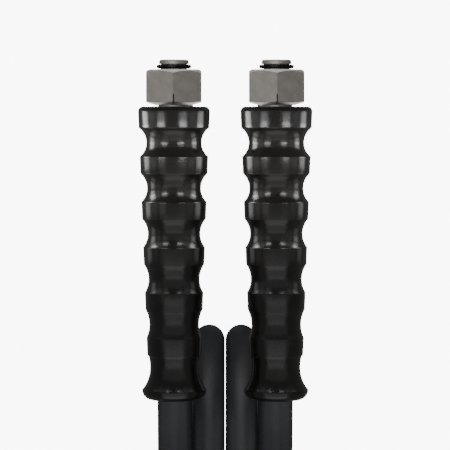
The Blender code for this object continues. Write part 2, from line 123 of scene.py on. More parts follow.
class Graph:
    """The node tree of one material, with its Principled shader."""

    def __init__(self, name: str) -> None:
        """Makes the material."""
        self.material = bpy.data.materials.new(name)
        self.material.use_nodes = True
        self.tree = self.material.node_tree
        self.shader = self.tree.nodes["Principled BSDF"]

    def feed(self, socket: bpy.types.NodeSocket, value: Term) -> None:
        """Links a signal to a socket, or sets the socket's own value.

        Args:
            socket: The input.
            value: A signal, a number, or the numbers of a colour or vector.
        """
        if isinstance(value, Signal):
            self.tree.links.new(value.socket, socket)
            return
        if socket.type == "RGBA":
            value = (*(value if hasattr(value, "__len__") else (value,) * 3), 1.0)[:4]
        elif socket.type == "VECTOR" and not hasattr(value, "__len__"):
            value = (value,) * 3
        socket.default_value = value

    def node(
        self, kind: str, settings: dict | None = None, sockets: dict | None = None, out: int = 0
    ) -> Signal:
        """Adds any node.

        Args:
            kind: The node's type.
            settings: Its settings, such as operation.
            sockets: Values or signals of its inputs, by name or number.
            out: Number of the output to give.

        Returns:
            That output.
        """
        made = self.tree.nodes.new(kind)
        for name, value in (settings or {}).items():
            setattr(made, name, value)
        for name, value in (sockets or {}).items():
            self.feed(made.inputs[name], value)
        return Signal(self, made.outputs[out])

    def place(self) -> Signal:
        """Position in the piece's own space, in metres."""
        return self.node("ShaderNodeTexCoord", out=3)

    def lengthwise(self) -> Signal:
        """The piece's UV map, which holds metres around and along it."""
        return self.node("ShaderNodeUVMap", {"uv_map": "metres"})

    def noise(self, where: Signal, scale: float, detail: float = 3.0, rough: float = 0.5) -> Signal:
        """Noise from 0 to 1, with scale cells per metre, and finer layers that are as strong as rough."""
        sockets = {"Vector": where, "Scale": scale, "Detail": detail, "Roughness": rough}
        return self.node("ShaderNodeTexNoise", None, sockets)

    def between(self, value: Signal, low: float, high: float) -> Signal:
        """The share of value, from 0 at low to 1 at high, kept in that range."""
        sockets = {"Value": value, "From Min": low, "From Max": high}
        return self.node("ShaderNodeMapRange", {"clamp": True}, sockets)

    def blend(self, share: Term, first: Term, second: Term) -> Signal:
        """A colour between two others: the first where share is 0, the second where it is 1."""
        return self.node("ShaderNodeMix", {"data_type": "RGBA"}, {0: share, 6: first, 7: second}, out=2)

    def bump(self, height: Signal, depth: float, strength: float) -> Signal:
        """A normal from a height of 0 to 1, with depth metres between the two."""
        sockets = {"Height": height, "Distance": depth, "Strength": strength}
        return self.node("ShaderNodeBump", None, sockets)

    def dress(self, **sockets: Term) -> bpy.types.Material:
        """Feeds the Principled shader.

        Args:
            **sockets: Values or signals, with each socket's name in small letters and low lines.

        Returns:
            The finished material.
        """
        known = {socket.name.lower().replace(" ", "_"): socket for socket in self.shader.inputs}
        for name, value in sockets.items():
            self.feed(known[name], value)
        return self.material


@dataclass(frozen=True)
class GripRubber:
    """Glossy moulded rubber, nearly black with a brown cast."""

    dark: Point = (0.0085, 0.0075, 0.0068)
    pale: Point = (0.0150, 0.0135, 0.0125)
    gloss: float = 0.20

    def material(self) -> bpy.types.Material:
        """Mottled colour, uneven gloss and a fine moulded grain."""
        graph = Graph("glossy moulded rubber")
        where = graph.place()
        cloud = graph.noise(where, 90.0, 4.0)
        grain = graph.noise(where, 2600.0, 3.0, 0.6)
        swirl = graph.noise(where, 420.0, 2.0)
        mottled = graph.blend(graph.between(cloud, 0.35, 0.68), self.dark, self.pale)
        smudge = graph.between(cloud, 0.52, 0.74)
        normal = graph.bump(grain * 0.7 + swirl * 0.5, 0.05 * MM, 0.55)
        return graph.dress(
            base_color=mottled,
            roughness=self.gloss + smudge * 0.05 + (grain - 0.5) * 0.10,
            normal=normal,
            specular_ior_level=0.5,
        )


@dataclass(frozen=True)
class HoseRubber:
    """Satin rubber cover, a little blue, with the faint lines of its extrusion."""

    dark: Point = (0.0105, 0.0115, 0.0135)
    pale: Point = (0.0175, 0.0195, 0.0230)
    gloss: float = 0.50
    lines_around: float = 1900.0

    def material(self) -> bpy.types.Material:
        """Colour, gloss and bump that run along the hose."""
        graph = Graph("satin hose rubber")
        along = graph.lengthwise()
        streaks = graph.noise(along * (self.lines_around, 14.0, 1.0), 1.0, 3.0, 0.55)
        cloud = graph.noise(graph.place(), 60.0, 4.0)
        grain = graph.noise(graph.place(), 3000.0, 2.0, 0.5)
        colour = graph.blend(graph.between(cloud * 0.6 + streaks * 0.4, 0.36, 0.62), self.dark, self.pale)
        scuff = graph.between(graph.noise(along * (160.0, 5.0, 1.0), 1.0, 5.0, 0.6), 0.60, 0.80)
        normal = graph.bump(streaks * 0.5 + grain * 0.5, 0.04 * MM, 0.4)
        return graph.dress(
            base_color=colour,
            roughness=self.gloss + scuff * 0.10 + (streaks - 0.5) * 0.06,
            normal=normal,
            specular_ior_level=0.45,
        )


@dataclass(frozen=True)
class BlastedSteel:
    """Zinc-plated steel with a fine blasted grain, its darker tone a little warmer."""

    name: str = "blasted plated steel"
    dark: Point = (0.27, 0.25, 0.225)
    pale: Point = (0.37, 0.35, 0.325)
    gloss: float = 0.50
    grain_depth: float = 0.035 * MM

    def material(self) -> bpy.types.Material:
        """Speckled colour, a blasted bump and thin machining rings."""
        graph = Graph(self.name)
        where = graph.place()
        speck = graph.noise(where, 3400.0, 2.0, 0.7)
        cloud = graph.noise(where, 230.0, 4.0, 0.6)
        rings = graph.noise(where * (60.0, 5200.0, 60.0), 1.0, 2.0, 0.5)
        colour = graph.blend(graph.between(cloud * 0.55 + speck * 0.45, 0.36, 0.64), self.dark, self.pale)
        normal = graph.bump(speck * 0.7 + rings * 0.3, self.grain_depth, 0.7)
        return graph.dress(
            base_color=colour,
            metallic=0.55,
            roughness=self.gloss + (speck - 0.5) * 0.16 + (cloud - 0.5) * 0.12,
            normal=normal,
        )


@dataclass(frozen=True)
class SealRubber:
    """Smooth black rubber of the seal ring, lightly greased."""

    base: Point = (0.0045, 0.0045, 0.0045)
    sheen: Point = (0.0085, 0.0085, 0.0090)

    def material(self) -> bpy.types.Material:
        """Nearly even black with a wet gloss."""
        graph = Graph("greased seal rubber")
        cloud = graph.noise(graph.place(), 700.0, 3.0)
        return graph.dress(
            base_color=graph.blend(cloud, self.base, self.sheen),
            roughness=0.26 + (cloud - 0.5) * 0.12,
            normal=graph.bump(cloud, 0.02 * MM, 0.3),
            specular_ior_level=0.25,
        )


@dataclass(frozen=True)
class TieWebbing:
    """Black woven strap with a hooked fleece face."""

    dark: Point = (0.012, 0.012, 0.013)
    pale: Point = (0.055, 0.055, 0.060)
    threads_per_metre: float = 900.0

    def material(self) -> bpy.types.Material:
        """A plain weave in colour and bump, with loose fibres."""
        graph = Graph("woven strap")
        weave = graph.lengthwise() * self.threads_per_metre
        bands = {"Vector": weave, "Scale": 0.31, "Distortion": 0.3}
        warp = graph.node("ShaderNodeTexWave", {"bands_direction": "X"}, bands)
        weft = graph.node("ShaderNodeTexWave", {"bands_direction": "Y"}, bands)
        fibre = graph.noise(graph.lengthwise(), 5200.0, 4.0, 0.7)
        warp_height = graph.node("ShaderNodeRGBToBW", None, {0: warp}) * 0.5
        height = warp_height + graph.node("ShaderNodeRGBToBW", None, {0: weft}) * 0.5
        colour = graph.blend(height * 0.6 + fibre * 0.4, self.dark, self.pale)
        return graph.dress(
            base_color=colour,
            roughness=0.82 + (fibre - 0.5) * 0.16,
            normal=graph.bump(height * 0.8 + fibre * 0.4, 0.18 * MM, 0.8),
            sheen_weight=0.25,
        )


@dataclass(frozen=True)
class StitchThread:
    """Waxed grey thread."""

    base: Point = (0.10, 0.10, 0.105)
    deep: Point = (0.035, 0.035, 0.04)

    def material(self) -> bpy.types.Material:
        """Twisted thread in colour and bump."""
        graph = Graph("waxed thread")
        twist = graph.noise(graph.place() * (1.0, 3.0, 1.0), 2600.0, 2.0)
        return graph.dress(
            base_color=graph.blend(twist, self.deep, self.base),
            roughness=0.55 + (twist - 0.5) * 0.2,
            normal=graph.bump(twist, 0.05 * MM, 0.6),
        )


@dataclass(frozen=True)
class StudioFloor:
    """Matt white board."""

    tone: float = 0.86
    glow: float = 9.0

    def material(self) -> bpy.types.Material:
        """White with a barely seen fine tooth, lit a little from below."""
        graph = Graph("white studio board")
        tooth = graph.noise(graph.place(), 900.0, 2.0)
        return graph.dress(
            base_color=graph.blend(tooth, (self.tone,) * 3, (self.tone * 1.02,) * 3),
            roughness=0.9,
            emission_color=(1.0, 1.0, 1.0),
            emission_strength=self.glow,
        )


class Workshop:
    """Makes objects from points."""

    @staticmethod
    def add(
        name: str, mesh: bpy.types.Mesh, finish: bpy.types.Material, at: Point = (0.0, 0.0, 0.0)
    ) -> bpy.types.Object:
        """Makes an object of a mesh.

        Args:
            name: The object's name.
            mesh: Its mesh.
            finish: Its material.
            at: Its place.

        Returns:
            The object.
        """
        mesh.materials.clear()
        mesh.materials.append(finish)
        made = bpy.data.objects.new(name, mesh)
        made.location = at
        bpy.context.scene.collection.objects.link(made)
        return made

    @staticmethod
    def skin(
        name: str, rings: Sequence[Sequence[Point]], around: float, closed: bool = False, capped: bool = False
    ) -> bpy.types.Mesh:
        """A smooth mesh over rings of points, with a UV map in metres.

        Args:
            name: The mesh's name.
            rings: The rings, each with as many points.
            around: Length of a ring, in metres.
            closed: True to join the last ring to the first.
            capped: True to close both ends.

        Returns:
            The mesh.
        """
        maker = bmesh.new()
        rows = [[maker.verts.new(point) for point in ring] for ring in rings]
        layer = maker.loops.layers.uv.new("metres")
        count = len(rows[0])
        lengths = [0.0]
        for one, other in zip(rings, list(rings[1:]) + [rings[0]]):
            lengths.append(lengths[-1] + (Vector(other[0]) - Vector(one[0])).length)
        last = len(rows) if closed else len(rows) - 1
        for r in range(last):
            near, far = rows[r], rows[(r + 1) % len(rows)]
            for i in range(count):
                j = (i + 1) % count
                face = maker.faces.new((near[i], near[j], far[j], far[i]))
                corners = ((i, r), (i + 1, r), (i + 1, r + 1), (i, r + 1))
                for loop, (step, row) in zip(face.loops, corners):
                    loop[layer].uv = (around * step / count, lengths[row])
        if capped:
            maker.faces.new(rows[0])
            maker.faces.new(rows[-1])
        bmesh.ops.recalc_face_normals(maker, faces=maker.faces)
        mesh = bpy.data.meshes.new(name)
        maker.to_mesh(mesh)
        maker.free()
        mesh.shade_smooth()
        return mesh

    @staticmethod
    def turned(name: str, outline: Outline, sides: int, crease_deg: float = 40.0) -> bpy.types.Mesh:
        """A solid turned about the Y axis.

        Args:
            name: The mesh's name.
            outline: Closed outline of (radius, reach).
            sides: Steps of the turn.
            crease_deg: Edges sharper than this stay sharp.

        Returns:
            The mesh.
        """
        rings = []
        for radius, reach in outline:
            rings.append([(radius * math.cos(a), reach, radius * math.sin(a)) for a in turns(sides)])
        widest = max(radius for radius, _ in outline)
        mesh = Workshop.skin(name, rings, 2 * math.pi * widest, closed=True)
        mesh.set_sharp_from_angle(angle=math.radians(crease_deg))
        return mesh

    @staticmethod
    def soften(outline: Outline, reach: float, steps: int = 3, least_deg: float = 12.0) -> Outline:
        """Rounds the corners of a closed outline.

        Args:
            outline: The outline.
            reach: How far from a corner its rounding starts.
            steps: Parts of each rounding.
            least_deg: Corners flatter than this stay.

        Returns:
            The rounded outline.
        """
        made: Outline = []
        points = [Vector(point) for point in outline]
        for before, here, after in zip(points[-1:] + points[:-1], points, points[1:] + points[:1]):
            back, ahead = before - here, after - here
            if back.length < 1e-7 or ahead.length < 1e-7:
                continue
            if math.degrees(math.pi - back.angle(ahead)) < least_deg:
                made.append(tuple(here))
                continue
            first = here + back.normalized() * min(reach, back.length * 0.4)
            last = here + ahead.normalized() * min(reach, ahead.length * 0.4)
            for i in range(steps + 1):
                share = i / steps
                made.append(tuple(first.lerp(here, share).lerp(here.lerp(last, share), share)))
        return made

    @staticmethod
    def settle(thing: bpy.types.Object) -> None:
        """Applies an object's modifiers to its mesh."""
        graph = bpy.context.evaluated_depsgraph_get()
        mesh = bpy.data.meshes.new_from_object(thing.evaluated_get(graph))
        thing.modifiers.clear()
        thing.data = mesh


@dataclass
class HoseRun:
    """The whole hose along its centre line: both leads, the folds of the hank and the bight on the floor."""

    diameter: float = 16.5 * MM
    gap: float = 0.3 * MM
    fold_radius: float = 52.0 * MM
    lift: float = 2.5 * MM
    lip_y: float = 73.4 * MM
    start_inside: float = 24.0 * MM
    grip_radius: float = 17.7 * MM
    lead_down_y: float = 12.0 * MM
    shift_near_y: float = -26.0 * MM
    shift_far_y: float = -124.0 * MM
    stagger: float = 2.0 * MM
    outer_near_y: float = 168.25 * MM
    inner_near_y: float = 43.25 * MM
    outer_run: float = 351.2 * MM
    slope_run: float = 160.0 * MM
    slope_end_behind_fold: float = 30.0 * MM
    bight_radius: float = 54.0 * MM
    flare_radius: float = 68.0 * MM
    step: float = 5.0 * MM
    sides: int = 28
    line: list[Point] = field(default_factory=list)

    def __post_init__(self) -> None:
        """Works out the columns and levels of the strands."""
        self.radius = self.diameter / 2
        self.pitch = self.diameter + self.gap
        self.inner_x = self.pitch / 2
        self.outer_x = self.inner_x + self.pitch
        self.lead_x = self.outer_x + self.pitch
        self.bottom_z = self.lift + self.radius
        self.top_z = self.bottom_z + 2 * self.fold_radius
        self.lead_z = self.top_z + self.pitch
        self.grip_z = self.top_z + self.radius + self.gap + self.grip_radius
        self.far_y = self.outer_near_y - self.outer_run

    def _go(self, *stop: float) -> None:
        """Adds a straight stretch to the point stop."""
        start, end = Vector(self.line[-1]), Vector(stop)
        count = max(1, round((end - start).length / self.step))
        self.line += [tuple(start.lerp(end, i / count)) for i in range(1, count + 1)]

    def _ease(self, x: float, y: float, z: float) -> None:
        """Adds an S-shaped stretch to (x, y, z), which starts and ends along Y."""
        start = Vector(self.line[-1])
        count = max(6, round(abs(y - start.y) / self.step))
        for i in range(1, count + 1):
            share = i / count
            turn = (1 - math.cos(math.pi * share)) / 2
            across = start.lerp(Vector((x, y, z)), turn)
            self.line.append((across.x, start.y + (y - start.y) * share, across.z))

    def _fold(self, x: float, y: float, start_deg: float, stop_deg: float) -> None:
        """Adds a fold in a plane of constant X.

        Args:
            x: The strand's X.
            y: The fold's middle.
            start_deg: Where it starts, with 0 at the near end and 90 on top.
            stop_deg: Where it stops.
        """
        count = round(math.radians(abs(stop_deg - start_deg)) * self.fold_radius / self.step)
        for i in range(1, count + 1):
            angle = math.radians(start_deg + (stop_deg - start_deg) * i / count)
            up = self.bottom_z + self.fold_radius * (1 + math.sin(angle))
            self.line.append((x, y + self.fold_radius * math.cos(angle), up))

    def _round_the_loop(self) -> None:
        """Adds the stretch in which the lead passes from on top of the outer loop to its side."""
        count = round((self.shift_near_y - self.shift_far_y) / self.step)
        for i in range(1, count + 1):
            share = i / count
            angle = math.pi / 2 * (1 + math.cos(math.pi * share)) / 2
            y = self.shift_near_y + (self.shift_far_y - self.shift_near_y) * share
            x = self.outer_x + self.pitch * math.cos(angle)
            self.line.append((x, y, self.top_z + self.pitch * math.sin(angle)))

    def _slope(self, floor_z: float) -> float:
        """Adds the double bend from the hank's top down to the floor.

        Args:
            floor_z: Height of the centre line on the floor.

        Returns:
            The Y at which it ends.
        """
        x, y, z = self.line[-1]
        drop = z - floor_z
        turn = 2 * math.atan2(drop, self.slope_run)
        radius = self.slope_run / (2 * math.sin(turn))
        count = round(radius * turn / self.step)
        for i in range(1, count + 1):
            angle = turn * i / count
            self.line.append((x, y - radius * math.sin(angle), z - radius * (1 - math.cos(angle))))
        for i in range(1, count + 1):
            angle = turn * (1 - i / count)
            ahead = self.slope_run - radius * math.sin(angle)
            self.line.append((x, y - ahead, floor_z + radius * (1 - math.cos(angle))))
        return y - self.slope_run

    def _bight(self, start_y: float, floor_z: float) -> None:
        """Adds half of the bight: a flare outwards and a quarter and more of its round end.

        Args:
            start_y: Where the flare starts.
            floor_z: Height of the centre line.
        """
        side = self.flare_radius + self.inner_x
        reach = self.flare_radius + self.bight_radius
        turn = math.acos(side / reach)
        centre_y = start_y - reach * math.sin(turn)
        count = round(self.flare_radius * turn / self.step)
        for i in range(1, count + 1):
            angle = turn * i / count
            x = side - self.flare_radius * math.cos(angle)
            self.line.append((x, start_y - self.flare_radius * math.sin(angle), floor_z))
        whole = turn + math.pi / 2
        count = round(self.bight_radius * whole / self.step)
        for i in range(1, count + 1):
            angle = turn - whole * i / count
            x = self.bight_radius * math.cos(angle)
            self.line.append((x, centre_y + self.bight_radius * math.sin(angle), floor_z))

    def route(self) -> list[Point]:
        """Works out the centre line, from the right grip to the bight and back to the left grip.

        Returns:
            The points of the line.
        """
        self.line = [(self.outer_x, self.lip_y + self.start_inside, self.grip_z)]
        self._go(self.outer_x, self.lip_y - self.gap, self.grip_z)
        self._ease(self.outer_x, self.lead_down_y, self.lead_z)
        self._go(self.outer_x, self.shift_near_y, self.lead_z)
        self._round_the_loop()
        self._go(self.lead_x, self.far_y, self.top_z)
        self._fold(self.lead_x, self.far_y, 90, 270)
        self._go(self.lead_x, self.shift_far_y + self.stagger, self.bottom_z)
        self._ease(self.outer_x, self.shift_near_y + self.stagger, self.bottom_z)
        self._go(self.outer_x, self.outer_near_y, self.bottom_z)
        self._fold(self.outer_x, self.outer_near_y, -90, 90)
        self._go(self.outer_x, self.far_y, self.top_z)
        self._fold(self.outer_x, self.far_y, 90, 270)
        self._go(self.outer_x, self.shift_far_y - self.stagger, self.bottom_z)
        self._ease(self.inner_x, self.shift_near_y - self.stagger, self.bottom_z)
        self._go(self.inner_x, self.inner_near_y, self.bottom_z)
        self._fold(self.inner_x, self.inner_near_y, -90, 90)
        slope_start = self.far_y - self.slope_end_behind_fold + self.slope_run
        self._go(self.inner_x, slope_start, self.top_z)
        floor_z = self.radius + self.gap
        self._bight(self._slope(floor_z), floor_z)
        half = self.line
        self.line = half + [(-x, y, z) for x, y, z in reversed(half[:-1])]
        return self.line

    def _rings(self) -> list[list[Point]]:
        """Rings of points round the centre line, without twist."""
        points = [Vector(point) for point in self.line]
        rings = []
        across = Vector((1, 0, 0))
        for i, here in enumerate(points):
            ahead = (points[min(i + 1, len(points) - 1)] - points[max(i - 1, 0)]).normalized()
            across = (across - ahead * across.dot(ahead)).normalized()
            up = ahead.cross(across)
            spokes = [across * math.cos(a) + up * math.sin(a) for a in turns(self.sides)]
            rings.append([tuple(here + spoke * self.radius) for spoke in spokes])
        return rings

    def build(self, finish: bpy.types.Material) -> bpy.types.Object:
        """Makes the hose and puts it in the place of its plain solids.

        Args:
            finish: The hose's material.

        Returns:
            The hose.
        """
        self.route()
        mesh = Workshop.skin("hose", self._rings(), 2 * math.pi * self.radius, capped=True)
        hose = Workshop.add("hose", mesh, finish)
        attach(hose, "hose")
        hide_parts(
            "hose_lead_left", "hose_lead_right", "hose_middle", "hank_loop_left", "hank_loop_right"
        )
        return hose

    def length(self) -> float:
        """Length of the centre line, in metres."""
        return sum((Vector(b) - Vector(a)).length for a, b in zip(self.line, self.line[1:]))

    def declare(self) -> None:
        self.length()


@dataclass
class Grip:
    """The moulded handle of one end, with its collar, rings, waists and flared lip."""

    side: Side
    place: Point
    length: float = 144.5 * MM
    collar_radius: float = 17.7 * MM
    collar_length: float = 10.4 * MM
    collar_edge: float = 2.4 * MM
    ring_count: int = 5
    ring_pitch: float = 22.35 * MM
    ring_length: float = 8.4 * MM
    first_ring_start: float = 24.5 * MM
    first_ring_radius: float = 16.85 * MM
    ring_step: float = 0.8 * MM
    taper: float = 0.35 * MM
    first_waist: float = 13.6 * MM
    last_waist: float = 11.9 * MM
    lip_radius: float = 15.9 * MM
    lip_rounding: float = 4.8 * MM
    throat_after_ring: float = 6.4 * MM
    pocket_radius: float = 9.9 * MM
    bore_radius: float = 8.55 * MM
    mouth_flat: float = 1.2 * MM
    lip_flare: float = 1.6 * MM
    bore_lead: float = 0.6 * MM
    bore_lead_depth: float = 8.2 * MM
    bore_stop: float = 60.0 * MM
    pocket_stop: float = 40.0 * MM
    edge: float = 0.35 * MM
    sides: int = 96

    def _arc(self, radius: float, reach: float, size: float, start_deg: float, stop_deg: float) -> Outline:
        """Points of an arc of the outline, with its middle at (radius, reach)."""
        turn = [math.radians(start_deg + (stop_deg - start_deg) * i / 7) for i in range(8)]
        return [(radius + size * math.cos(a), reach + size * math.sin(a)) for a in turn]

    def _waist(self, start: float, stop: float, first: float, last: float, low: float) -> Outline:
        """A hollow of round section between two rings.

        Args:
            start: Where it starts, from the mouth.
            stop: Where it stops.
            first: Radius at its start.
            last: Radius at its end.
            low: Radius at its middle.

        Returns:
            The points.
        """
        half = (stop - start) / 2
        depth = (first + last) / 2 - low
        size = (half * half + depth * depth) / (2 * depth)
        points: Outline = []
        for i in range(1, 14):
            share = i / 14
            along = half * (2 * share - 1)
            dip = math.sqrt(size * size - along * along) - (size - depth)
            points.append((first + (last - first) * share - dip, -(start + (stop - start) * share)))
        return points

    def outline(self) -> Outline:
        """Works out the outline from the mouth round the outside and back through the bore.

        Returns:
            The closed outline of (radius, reach).
        """
        centre = self.collar_radius - self.collar_edge
        points = [(centre - self.mouth_flat, 0.0)]
        points += self._arc(centre, -self.collar_edge, self.collar_edge, 88, 2)
        stop, radius = self.collar_length, self.collar_radius - self.taper
        points.append((radius, -stop))
        for index in range(self.ring_count):
            start = self.first_ring_start + self.ring_pitch * index
            low = self.first_waist + (self.last_waist - self.first_waist) * index / self.ring_count
            here = self.first_ring_radius - self.ring_step * index
            points += self._waist(stop, start, radius, here, low)
            stop, radius = start + self.ring_length, here - self.taper
            points += [(here, -start), (radius, -stop)]
        throat = stop + self.throat_after_ring
        lip = self.length - self.lip_rounding
        for i in range(1, 7):
            share = i / 7
            fall = 1 - math.sqrt(max(0.0, 1 - (1 - share) ** 2))
            out = self.last_waist + (radius - self.last_waist) * fall
            points.append((out, -(stop + (throat - stop) * share)))
        rise, run = self.lip_radius - self.last_waist, lip - throat
        size = (run * run + rise * rise) / (2 * rise)
        for i in range(15):
            along = run * i / 14
            out = self.last_waist + size - math.sqrt(size * size - along * along)
            points.append((out, -(throat + along)))
        points += self._arc(self.lip_radius - self.lip_rounding, -lip, self.lip_rounding, -8, -90)
        rounded = Workshop.soften(points, self.edge, 3, 24.0)
        return rounded + [
            (self.bore_radius + self.lip_flare, -self.length),
            (self.bore_radius + self.bore_lead, self.bore_lead_depth - self.length),
            (self.bore_radius, -self.bore_stop),
            (self.pocket_radius, -self.pocket_stop),
            (self.pocket_radius, 0.0),
        ]

    def build(self, finish: bpy.types.Material) -> bpy.types.Object:
        """Makes the grip.

        Args:
            finish: Its material.

        Returns:
            The grip.
        """
        name = f"grip_moulding_{self.side.word}"
        mesh = Workshop.turned(name, self.outline(), self.sides, 50.0)
        grip = Workshop.add(name, mesh, finish, self.place)
        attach(grip, "hose")
        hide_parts(f"grip_{self.side.word}")
        return grip


@dataclass
class Fitting:
    """The steel end of one side: nipple, seal ring and swivel nut."""

    side: Side
    place: Point
    bore: float = 3.2 * MM
    nose_reach: float = 23.0 * MM
    nose_radius: float = 7.2 * MM
    nose_land: float = 7.35 * MM
    cone_small: float = 8.1 * MM
    cone_large: float = 9.0 * MM
    cone_length: float = 4.4 * MM
    flange_radius: float = 9.6 * MM
    flange_length: float = 3.6 * MM
    neck_radius: float = 7.8 * MM
    tail_radius: float = 4.6 * MM
    tail_stop: float = 32.2 * MM
    seal_radius: float = 8.6 * MM
    seal_thickness: float = 1.9 * MM
    seal_reach: float = 19.6 * MM
    across_flats: float = 27.0 * MM
    nut_back: float = 0.7 * MM
    nut_length: float = 17.5 * MM
    nut_wall: float = 5.3 * MM
    front_face: float = 12.3 * MM
    front_chamfer_deg: float = 30.0
    back_face: float = 8.8 * MM
    back_chamfer_deg: float = 15.0
    thread_radius: float = 10.25 * MM
    thread_pitch: float = 1.5 * MM
    thread_depth: float = 0.75 * MM
    thread_profile: Point = (0.15 * MM, 0.7 * MM, 1.3 * MM)
    nose_edge: float = 0.5 * MM
    groove_slack: float = 0.3 * MM
    tail_start: float = 1.2 * MM
    worn_edge: float = 0.4 * MM
    worn_edge_deg: float = 24.0
    running_gap: float = 0.35 * MM
    notch: Point = (0.6 * MM, 5.4 * MM, 4.8 * MM)

    def _nipple_outline(self) -> Outline:
        """Outline from the nose over the seal groove, cone, flange and tail, and back through the bore."""
        half = self.seal_thickness / 2 + self.groove_slack
        groove = self.seal_radius - self.seal_thickness - self.groove_slack
        cone = self.seal_reach - half
        flange = self.nut_back + self.nut_wall + self.running_gap
        return [
            (self.nose_radius - self.nose_edge, self.nose_reach),
            (self.nose_radius, self.nose_reach - self.nose_edge),
            (self.nose_land, self.seal_reach + half),
            (groove, self.seal_reach + half),
            (groove, cone),
            (self.cone_small, cone),
            (self.cone_large, cone - self.cone_length),
            (self.flange_radius, flange + self.flange_length),
            (self.flange_radius, flange),
            (self.neck_radius, flange),
            (self.neck_radius, -self.tail_start),
            (self.tail_radius, -self.tail_start),
            (self.tail_radius, -self.tail_stop),
            (self.bore, -self.tail_stop),
            (self.bore, self.nose_reach - self.nose_edge),
            (self.bore + self.nose_edge, self.nose_reach),
        ]

    def _thread(self, start: float, stop: float) -> Outline:
        """The nut's thread as V-shaped rings.

        Args:
            start: Reach of its inner end.
            stop: Reach of its outer end.

        Returns:
            The points.
        """
        rise, peak, fall = self.thread_profile
        points: Outline = []
        for i in range(int((stop - start) / self.thread_pitch)):
            at = start + self.thread_pitch * i
            points.append((self.thread_radius, at + rise))
            points.append((self.thread_radius + self.thread_depth, at + peak))
            points.append((self.thread_radius, at + fall))
        return points

    def _nut_outline(self) -> Outline:
        """Outline of the turned form that the hexagon is cut to."""
        corner = self.across_flats / math.sqrt(3) + 1 * MM
        front = self.nut_back + self.nut_length
        floor = self.nut_back + self.nut_wall
        hole = self.neck_radius + self.running_gap
        front_drop = (corner - self.front_face) * math.tan(math.radians(self.front_chamfer_deg))
        back_drop = (corner - self.back_face) * math.tan(math.radians(self.back_chamfer_deg))
        mouth = self.thread_radius + self.thread_depth
        outside = [
            (self.front_face, front),
            (corner, front - front_drop),
            (corner, self.nut_back + back_drop),
            (self.back_face, self.nut_back),
            (hole, self.nut_back),
            (hole, floor),
            (self.thread_radius, floor),
        ]
        return outside + self._thread(floor + 0.6 * MM, front - 1.2 * MM) + [
            (self.thread_radius, front - 0.8 * MM),
            (mouth, front),
        ]

    def _hexagon(self, name: str) -> bpy.types.Mesh:
        """The bar that the nut is made of, with a corner on top."""
        corner = self.across_flats / math.sqrt(3)
        turn = [math.radians(30 + 60 * i) for i in range(6)]
        reaches = (self.nut_back - 1 * MM, self.nut_back + self.nut_length + 1 * MM)
        rings = [[(corner * math.cos(a), reach, corner * math.sin(a)) for a in turn] for reach in reaches]
        mesh = Workshop.skin(name, rings, 6 * corner, capped=True)
        mesh.shade_flat()
        return mesh

    def _cut(
        self, nut: bpy.types.Object, mesh: bpy.types.Mesh, finish: bpy.types.Material, operation: str
    ) -> None:
        """Cuts the nut with a mesh that lies in the nut's own place.

        Args:
            nut: The nut.
            mesh: The cutting mesh.
            finish: The material that the cut faces get.
            operation: The Boolean's operation.
        """
        tool = Workshop.add(f"{nut.name}_cutter", mesh, finish, self.place)
        cut = nut.modifiers.new("cut", "BOOLEAN")
        cut.operation = operation
        cut.material_mode = "TRANSFER"
        cut.object = tool
        bpy.context.view_layer.update()
        Workshop.settle(nut)
        bpy.data.objects.remove(tool, do_unlink=True)

    def build_nut(self, finish: bpy.types.Material, shade: bpy.types.Material) -> bpy.types.Object:
        """Makes the swivel nut, with its chamfers, thread and corner notch.

        Args:
            finish: Its material.
            shade: The material of the notch's walls, a darker steel that paints the shade inside the notch.

        Returns:
            The nut.
        """
        name = f"nut_{self.side.word}_machined"
        nut = Workshop.add(name, self._hexagon(name), finish, self.place)
        form = Workshop.turned(f"{name}_form", self._nut_outline(), TURNED_SIDES)
        self._cut(nut, form, finish, "INTERSECT")
        width, long, deep = self.notch
        maker = bmesh.new()
        bmesh.ops.create_cube(maker, size=1.0)
        bmesh.ops.scale(maker, vec=(width, long * 2, deep * 2), verts=maker.verts)
        top = self.across_flats / math.sqrt(3)
        bmesh.ops.translate(maker, vec=(0, self.nut_back, top), verts=maker.verts)
        slit = bpy.data.meshes.new("notch")
        maker.to_mesh(slit)
        maker.free()
        # The notch's walls take the darker steel, which paints the shade inside the notch.
        self._cut(nut, slit, shade, "DIFFERENCE")
        bevel = nut.modifiers.new("worn edges", "BEVEL")
        bevel.width = self.worn_edge
        bevel.segments = 3
        bevel.limit_method = "ANGLE"
        bevel.angle_limit = math.radians(self.worn_edge_deg)
        bevel.use_clamp_overlap = True
        bevel.harden_normals = True
        nut.data.shade_smooth()
        nut.data.set_sharp_from_angle(angle=math.radians(self.worn_edge_deg))
        bpy.context.view_layer.update()
        Workshop.settle(nut)
        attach(nut, f"nut_{self.side.word}")
        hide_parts(f"swivel_nut_{self.side.word}")
        return nut

    def build_nipple(self, finish: bpy.types.Material) -> bpy.types.Object:
        """Makes the nipple.

        Args:
            finish: Its material.

        Returns:
            The nipple.
        """
        name = f"nipple_{self.side.word}_turned"
        outline = Workshop.soften(self._nipple_outline(), 0.2 * MM, 2)
        nipple = Workshop.add(name, Workshop.turned(name, outline, TURNED_SIDES, 35.0), finish, self.place)
        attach(nipple, "hose")
        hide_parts(f"nipple_{self.side.word}")
        return nipple

    def build_seal(self, finish: bpy.types.Material) -> bpy.types.Object:
        """Makes the seal ring.

        Args:
            finish: Its material.

        Returns:
            The ring.
        """
        name = f"seal_{self.side.word}_ring"
        half = self.seal_thickness / 2
        middle = self.seal_radius - half
        outline = [(middle + half * math.cos(a), self.seal_reach + half * math.sin(a)) for a in turns(20)]
        seal = Workshop.add(name, Workshop.turned(name, outline, TURNED_SIDES, 80.0), finish, self.place)
        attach(seal, "hose")
        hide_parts(f"seal_ring_{self.side.word}")
        return seal


